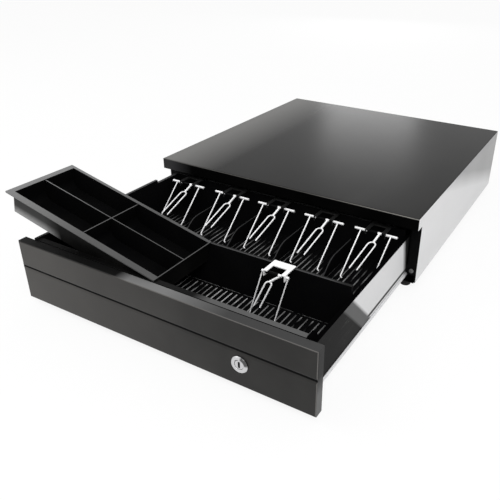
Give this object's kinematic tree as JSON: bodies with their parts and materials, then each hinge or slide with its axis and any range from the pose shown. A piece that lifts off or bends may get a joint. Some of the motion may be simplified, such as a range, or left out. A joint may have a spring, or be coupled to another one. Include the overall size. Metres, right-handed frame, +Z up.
{
  "type": "cash drawer",
  "caption": "Steel cash drawer standing open, with note slots under wire clips, a lift-out coin tray lying askew, a key lock and a solenoid latch",
  "frame": {"origin": "middle of the bounding box in X and Y, with the feet on Z = 0", "axes": "+Z up, X across the front from left to right seen from the front, Y from the drawer's front to the case's back"},
  "size_m": [0.4332, 0.6856, 0.1433],
  "materials": {
    "case_cover": "semi-gloss black enamel on sheet steel",
    "base_plate": "bright zinc-plated steel",
    "rear_panel": "semi-gloss black enamel on sheet steel",
    "rear_screw_low_left": "bright zinc-plated steel",
    "rear_screw_low_right": "bright zinc-plated steel",
    "rear_screw_top_left": "bright zinc-plated steel",
    "rear_screw_top_right": "bright zinc-plated steel",
    "foot_front_left": "black rubber",
    "foot_front_right": "black rubber",
    "foot_rear_left": "black rubber",
    "foot_rear_right": "black rubber",
    "front_post_left": "semi-gloss black enamel on sheet steel",
    "front_post_right": "semi-gloss black enamel on sheet steel",
    "guide_block_left": "white nylon",
    "guide_block_right": "white nylon",
    "guide_screw_left": "bright zinc-plated steel",
    "guide_screw_right": "bright zinc-plated steel",
    "outer_runner_left": "bright zinc-plated steel",
    "outer_runner_right": "bright zinc-plated steel",
    "latch_bracket": "bright zinc-plated steel",
    "hook_pin": "bright zinc-plated steel",
    "solenoid_frame": "bright zinc-plated steel",
    "solenoid_coil": "yellow-brown winding tape",
    "ejector_housing": "bright zinc-plated steel",
    "ejector_spring": "bright zinc-plated steel",
    "jack_socket": "black moulded plastic",
    "solenoid_lead": "black rubber",
    "mid_runner_left": "bright zinc-plated steel",
    "mid_runner_right": "bright zinc-plated steel",
    "drawer_tub": "pale coated sheet steel",
    "front_panel": "semi-gloss black enamel on sheet steel",
    "lock_barrel": "bright nickel plate",
    "lock_nut": "bright zinc-plated steel",
    "note_tray": "black moulded plastic with a soft gloss",
    "inner_runner_left": "pale coated sheet steel",
    "inner_runner_right": "pale coated sheet steel",
    "striker": "bright zinc-plated steel",
    "divider_1": "black moulded plastic with a soft gloss",
    "divider_2": "black moulded plastic with a soft gloss",
    "divider_3": "black moulded plastic with a soft gloss",
    "divider_4": "black moulded plastic with a soft gloss",
    "clip_bracket_1": "bright nickel plate",
    "clip_bracket_2": "bright nickel plate",
    "clip_bracket_3": "bright nickel plate",
    "clip_bracket_4": "bright nickel plate",
    "clip_bracket_5": "bright nickel plate",
    "clip_bracket_6": "bright nickel plate",
    "lock_plug": "bright nickel plate",
    "lock_cam": "bright zinc-plated steel",
    "coin_tray": "black moulded plastic with a soft gloss",
    "latch_hook": "bright zinc-plated steel",
    "solenoid_plunger": "bright zinc-plated steel",
    "clevis_pin": "bright zinc-plated steel",
    "ejector_plunger": "black moulded plastic",
    "note_clip_1": "bright nickel plate",
    "note_clip_2": "bright nickel plate",
    "note_clip_3": "bright nickel plate",
    "note_clip_4": "bright nickel plate",
    "note_clip_5": "bright nickel plate",
    "note_clip_6": "bright nickel plate"
  },
  "bodies": {
    "case": {"case_cover": "case_cover", "base_plate": "base_plate", "rear_panel": "rear_panel", "rear_screw_low_left": "rear_screw_low_left", "rear_screw_low_right": "rear_screw_low_right", "rear_screw_top_left": "rear_screw_top_left", "rear_screw_top_right": "rear_screw_top_right", "foot_front_left": "foot_front_left", "foot_front_right": "foot_front_right", "foot_rear_left": "foot_rear_left", "foot_rear_right": "foot_rear_right", "front_post_left": "front_post_left", "front_post_right": "front_post_right", "guide_block_left": "guide_block_left", "guide_block_right": "guide_block_right", "guide_screw_left": "guide_screw_left", "guide_screw_right": "guide_screw_right", "outer_runner_left": "outer_runner_left", "outer_runner_right": "outer_runner_right", "latch_bracket": "latch_bracket", "hook_pin": "hook_pin", "solenoid_frame": "solenoid_frame", "solenoid_coil": "solenoid_coil", "ejector_housing": "ejector_housing", "ejector_spring": "ejector_spring", "jack_socket": "jack_socket", "solenoid_lead": "solenoid_lead"},
    "mid_runners": {"mid_runner_left": "mid_runner_left", "mid_runner_right": "mid_runner_right"},
    "drawer": {"drawer_tub": "drawer_tub", "front_panel": "front_panel", "lock_barrel": "lock_barrel", "lock_nut": "lock_nut", "note_tray": "note_tray", "inner_runner_left": "inner_runner_left", "inner_runner_right": "inner_runner_right", "striker": "striker", "divider_1": "divider_1", "divider_2": "divider_2", "divider_3": "divider_3", "divider_4": "divider_4", "clip_bracket_1": "clip_bracket_1", "clip_bracket_2": "clip_bracket_2", "clip_bracket_3": "clip_bracket_3", "clip_bracket_4": "clip_bracket_4", "clip_bracket_5": "clip_bracket_5", "clip_bracket_6": "clip_bracket_6"},
    "lock_plug": {"lock_plug": "lock_plug", "lock_cam": "lock_cam"},
    "coin_tray": {"coin_tray": "coin_tray"},
    "latch_hook": {"latch_hook": "latch_hook"},
    "solenoid_plunger": {"solenoid_plunger": "solenoid_plunger", "clevis_pin": "clevis_pin"},
    "ejector_plunger": {"ejector_plunger": "ejector_plunger"},
    "note_clip_1": {"note_clip_1": "note_clip_1"},
    "note_clip_2": {"note_clip_2": "note_clip_2"},
    "note_clip_3": {"note_clip_3": "note_clip_3"},
    "note_clip_4": {"note_clip_4": "note_clip_4"},
    "note_clip_5": {"note_clip_5": "note_clip_5"},
    "note_clip_6": {"note_clip_6": "note_clip_6"}
  },
  "joints": [
    {"name": "mid_slide", "type": "slide", "parent": "case", "child": "mid_runners", "axis": [0, -1, 0], "range_m": [-0.1333, 0]},
    {"name": "drawer_slide", "type": "slide", "parent": "mid_runners", "child": "drawer", "axis": [0, -1, 0], "range_m": [-0.1333, 0]},
    {"name": "coin_tray_lift", "type": "slide", "parent": "drawer", "child": "coin_tray", "axis": [0, 0, -1], "range_m": [-0.06, 0]},
    {"name": "lock_turn", "type": "hinge", "parent": "drawer", "child": "lock_plug", "pos_m": [0.12861, -0.3407, 0.037], "axis": [0, 1, 0], "range_deg": [0, 90]},
    {"name": "hook_lift", "type": "hinge", "parent": "case", "child": "latch_hook", "pos_m": [0.01161, 0.3229, 0.042], "axis": [-1, 0, 0], "range_deg": [0, 16]},
    {"name": "plunger_rise", "type": "slide", "parent": "case", "child": "solenoid_plunger", "axis": [0, 0, 1], "range_m": [0, 0.0034]},
    {"name": "ejector_push", "type": "slide", "parent": "case", "child": "ejector_plunger", "axis": [0, -1, 0], "range_m": [-0.0299, 0], "deforming": ["ejector_spring"]},
    {"name": "note_clip_1_lift", "type": "hinge", "parent": "drawer", "child": "note_clip_1", "pos_m": [-0.13695, -0.0861, 0.0837], "axis": [-1, 0, 0], "range_deg": [0, 100]},
    {"name": "note_clip_2_lift", "type": "hinge", "parent": "drawer", "child": "note_clip_2", "pos_m": [-0.06267, -0.0861, 0.0837], "axis": [-1, 0, 0], "range_deg": [0, 100]},
    {"name": "note_clip_3_lift", "type": "hinge", "parent": "drawer", "child": "note_clip_3", "pos_m": [0.01161, -0.0861, 0.0837], "axis": [-1, 0, 0], "range_deg": [0, 100]},
    {"name": "note_clip_4_lift", "type": "hinge", "parent": "drawer", "child": "note_clip_4", "pos_m": [0.08589, -0.0861, 0.0837], "axis": [-1, 0, 0], "range_deg": [0, 100]},
    {"name": "note_clip_5_lift", "type": "hinge", "parent": "drawer", "child": "note_clip_5", "pos_m": [0.16017, -0.0861, 0.0837], "axis": [-1, 0, 0], "range_deg": [0, 100]},
    {"name": "note_clip_6_lift", "type": "hinge", "parent": "drawer", "child": "note_clip_6", "pos_m": [0.11161, -0.2441, 0.0872], "axis": [-1, 0, 0], "range_deg": [0, 100]}
  ],
  "couplings": [
    {"joint": "plunger_rise", "follows": "hook_lift", "m_per_rad": 0.0117}
  ]
}
